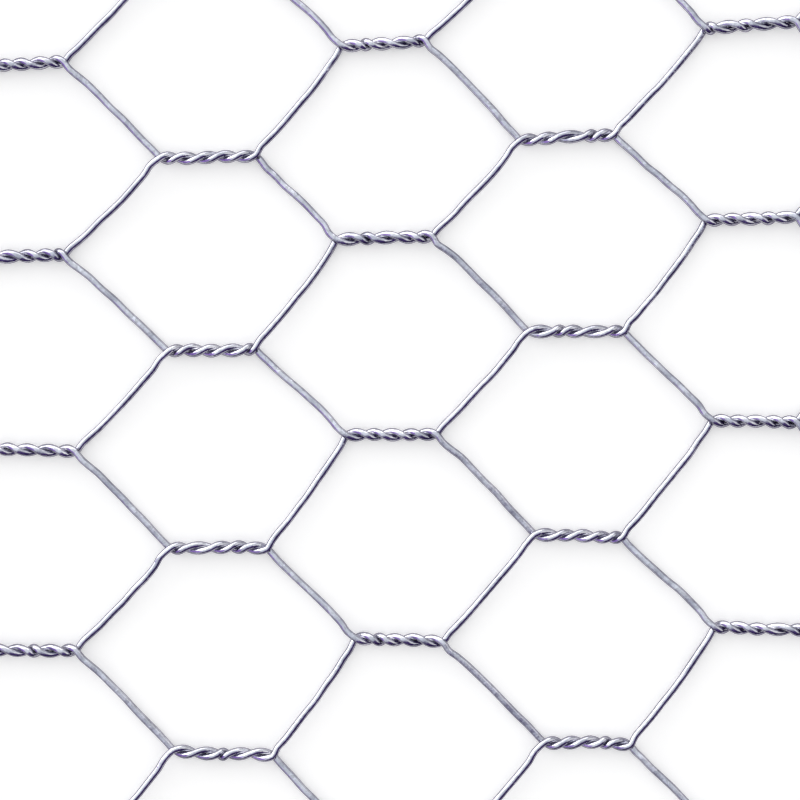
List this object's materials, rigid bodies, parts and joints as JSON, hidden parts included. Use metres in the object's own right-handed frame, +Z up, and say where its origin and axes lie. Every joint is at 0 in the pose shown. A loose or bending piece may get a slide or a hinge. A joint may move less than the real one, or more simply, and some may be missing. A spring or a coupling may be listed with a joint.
{
  "type": "sheet of chicken wire",
  "caption": "Flat rectangular sheet of hexagonal galvanized wire netting: zigzag wires twisted together where they meet, with a straight selvedge wire along each long edge",
  "frame": {"origin": "centre of the sheet, halfway through its thickness", "axes": "+X along the twists, which is the length of the netting; +Y across the sheet from one selvedge to the other; +Z up out of the sheet as it lies flat"},
  "size_m": [0.2532, 0.2056, 0.0024],
  "materials": {
    "galvanized_wire": "bright zinc-coated steel wire, slightly uneven"
  },
  "bodies": {
    "root": {"line_wire_01": "galvanized_wire", "line_wire_02": "galvanized_wire", "line_wire_03": "galvanized_wire", "line_wire_04": "galvanized_wire", "line_wire_05": "galvanized_wire", "line_wire_06": "galvanized_wire", "line_wire_07": "galvanized_wire", "line_wire_08": "galvanized_wire", "line_wire_09": "galvanized_wire", "line_wire_10": "galvanized_wire", "line_wire_11": "galvanized_wire", "line_wire_12": "galvanized_wire", "line_wire_13": "galvanized_wire", "line_wire_14": "galvanized_wire", "line_wire_15": "galvanized_wire", "line_wire_16": "galvanized_wire", "selvedge_low": "galvanized_wire", "selvedge_high": "galvanized_wire"}
  },
  "joints": []
}
